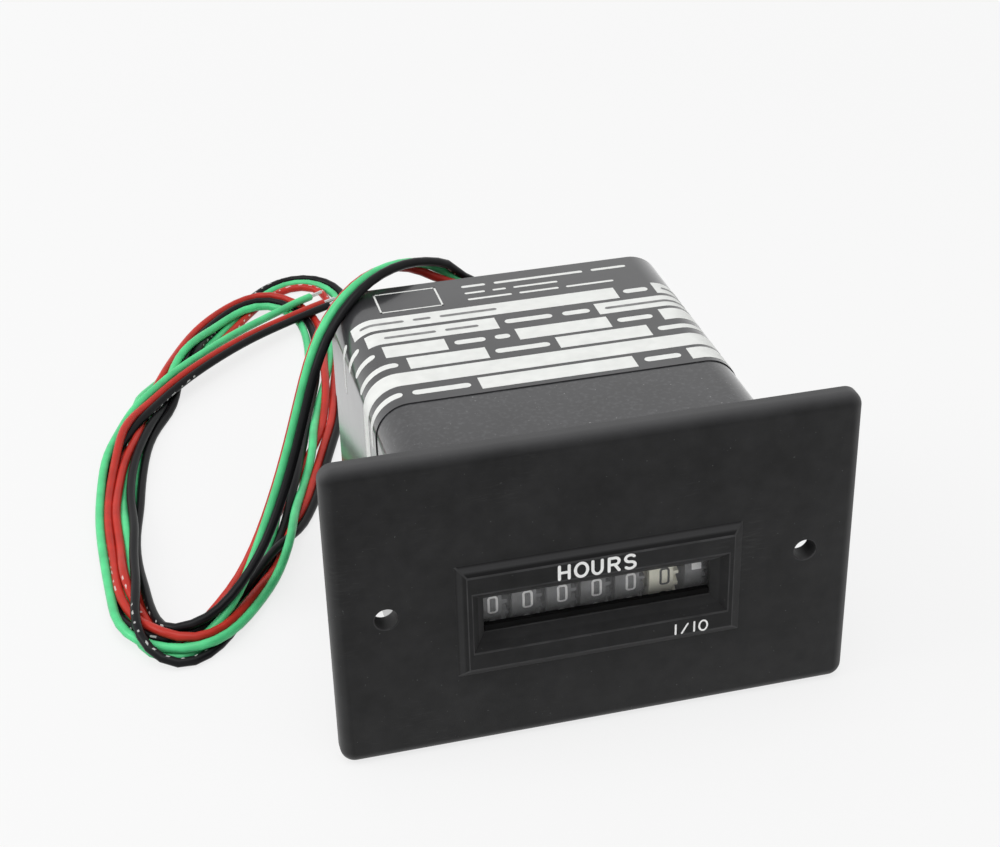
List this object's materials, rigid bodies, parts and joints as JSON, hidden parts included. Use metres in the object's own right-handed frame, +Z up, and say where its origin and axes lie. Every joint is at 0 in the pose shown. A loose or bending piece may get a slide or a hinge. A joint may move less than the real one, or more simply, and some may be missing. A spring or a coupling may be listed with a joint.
{
  "type": "hour meter",
  "caption": "Panel-mounted running-time counter with number wheels behind a bevelled window, deep rectangular case and loose hook-up leads",
  "frame": {"origin": "middle of the bezel's rear face, which lies on the panel", "axes": "X to the right as read, Y into the panel, Z up; the dial faces -Y"},
  "size_m": [0.1101, 0.1522, 0.0498],
  "materials": {
    "bezel_plastic": "black moulded plastic, fine matt grain with light scuffs",
    "case_plastic": "black moulded plastic, smooth and glossy",
    "clear_lens": "clear plastic window",
    "label_film": "black film with off-white printed fields",
    "steel": "plated steel",
    "brass": "plain turned brass",
    "soft_rubber": "black rubber",
    "wheel_black": "black moulded plastic with white printed figures",
    "wheel_cream": "cream moulded plastic with black printed figures",
    "board": "green glass-fibre board",
    "chip_black": "black moulded epoxy",
    "capacitor_sleeve": "blue shrink sleeve",
    "lead_red": "red insulation",
    "lead_green": "green insulation",
    "lead_black": "black insulation"
  },
  "bodies": {
    "meter": {"front_bezel": "bezel_plastic", "window_lens": "clear_lens", "case_shell": "case_plastic", "rear_cover": "case_plastic", "cover_screws": "steel", "cable_grommet": "soft_rubber", "data_label": "label_film", "counter_frame": "steel", "counter_screws": "steel", "wheel_shaft": "steel", "pinion_shaft": "steel", "lay_shaft": "steel", "gearmotor": "steel", "motor_screws": "steel", "circuit_board": "board", "board_standoffs": "brass", "board_screws": "steel", "control_chip": "chip_black", "crystal_can": "steel", "filter_capacitor": "capacitor_sleeve", "rectifier_diodes": "chip_black", "motor_leads": "lead_red", "inner_leads": "lead_black", "red_lead": "lead_red", "green_lead": "lead_green", "black_lead": "lead_black", "lead_coil": "lead_green"},
    "tenths": {"wheel_tenths": "wheel_cream"},
    "ten_thousands": {"wheel_ten_thousands": "wheel_black"},
    "thousands": {"wheel_thousands": "wheel_black"},
    "hundreds": {"wheel_hundreds": "wheel_black"},
    "tens": {"wheel_tens": "wheel_black"},
    "units": {"wheel_units": "wheel_black"},
    "pinion_1": {"transfer_pinion_1": "wheel_cream"},
    "pinion_2": {"transfer_pinion_2": "wheel_cream"},
    "pinion_3": {"transfer_pinion_3": "wheel_cream"},
    "pinion_4": {"transfer_pinion_4": "wheel_cream"},
    "pinion_5": {"transfer_pinion_5": "wheel_cream"},
    "layshaft": {"lay_gear": "brass"},
    "indicator": {"run_indicator": "wheel_black"},
    "motor_output": {"motor_pinion": "brass"}
  },
  "joints": [
    {"name": "tenths_turn", "type": "hinge", "parent": "meter", "child": "tenths", "pos_m": [0.01065, 0.0073, -0.0032], "axis": [1, 0, 0], "continuous": true},
    {"name": "ten_thousands_turn", "type": "hinge", "parent": "meter", "child": "ten_thousands", "pos_m": [-0.01475, 0.0073, -0.0032], "axis": [1, 0, 0], "continuous": true},
    {"name": "thousands_turn", "type": "hinge", "parent": "meter", "child": "thousands", "pos_m": [-0.00967, 0.0073, -0.0032], "axis": [1, 0, 0], "continuous": true},
    {"name": "hundreds_turn", "type": "hinge", "parent": "meter", "child": "hundreds", "pos_m": [-0.00459, 0.0073, -0.0032], "axis": [1, 0, 0], "continuous": true},
    {"name": "tens_turn", "type": "hinge", "parent": "meter", "child": "tens", "pos_m": [0.00049, 0.0073, -0.0032], "axis": [1, 0, 0], "continuous": true},
    {"name": "units_turn", "type": "hinge", "parent": "meter", "child": "units", "pos_m": [0.00557, 0.0073, -0.0032], "axis": [1, 0, 0], "continuous": true},
    {"name": "pinion_1_turn", "type": "hinge", "parent": "meter", "child": "pinion_1", "pos_m": [-0.01275, 0.0131, 0.00371], "axis": [1, 0, 0], "continuous": true},
    {"name": "pinion_2_turn", "type": "hinge", "parent": "meter", "child": "pinion_2", "pos_m": [-0.00767, 0.0131, 0.00371], "axis": [1, 0, 0], "continuous": true},
    {"name": "pinion_3_turn", "type": "hinge", "parent": "meter", "child": "pinion_3", "pos_m": [-0.00259, 0.0131, 0.00371], "axis": [1, 0, 0], "continuous": true},
    {"name": "pinion_4_turn", "type": "hinge", "parent": "meter", "child": "pinion_4", "pos_m": [0.00249, 0.0131, 0.00371], "axis": [1, 0, 0], "continuous": true},
    {"name": "pinion_5_turn", "type": "hinge", "parent": "meter", "child": "pinion_5", "pos_m": [0.00757, 0.0131, 0.00371], "axis": [1, 0, 0], "continuous": true},
    {"name": "layshaft_turn", "type": "hinge", "parent": "meter", "child": "layshaft", "pos_m": [0.01365, 0.0147, -0.00941], "axis": [1, 0, 0], "continuous": true},
    {"name": "indicator_turn", "type": "hinge", "parent": "meter", "child": "indicator", "pos_m": [0.01565, 0.0073, -0.0032], "axis": [1, 0, 0], "continuous": true},
    {"name": "motor_turn", "type": "hinge", "parent": "meter", "child": "motor_output", "pos_m": [0.01665, 0.01636, -0.0032], "axis": [1, 0, 0], "continuous": true}
  ],
  "couplings": [
    {"joint": "ten_thousands_turn", "follows": "tenths_turn", "ratio": 0.00001},
    {"joint": "thousands_turn", "follows": "tenths_turn", "ratio": 0.0001},
    {"joint": "hundreds_turn", "follows": "tenths_turn", "ratio": 0.001},
    {"joint": "tens_turn", "follows": "tenths_turn", "ratio": 0.01},
    {"joint": "units_turn", "follows": "tenths_turn", "ratio": 0.1},
    {"joint": "pinion_1_turn", "follows": "tenths_turn", "ratio": -0.000025},
    {"joint": "pinion_2_turn", "follows": "tenths_turn", "ratio": -0.00025},
    {"joint": "pinion_3_turn", "follows": "tenths_turn", "ratio": -0.0025},
    {"joint": "pinion_4_turn", "follows": "tenths_turn", "ratio": -0.025},
    {"joint": "pinion_5_turn", "follows": "tenths_turn", "ratio": -0.25},
    {"joint": "layshaft_turn", "follows": "tenths_turn", "ratio": -2},
    {"joint": "indicator_turn", "follows": "tenths_turn", "ratio": 6},
    {"joint": "motor_turn", "follows": "tenths_turn", "ratio": -12}
  ]
}
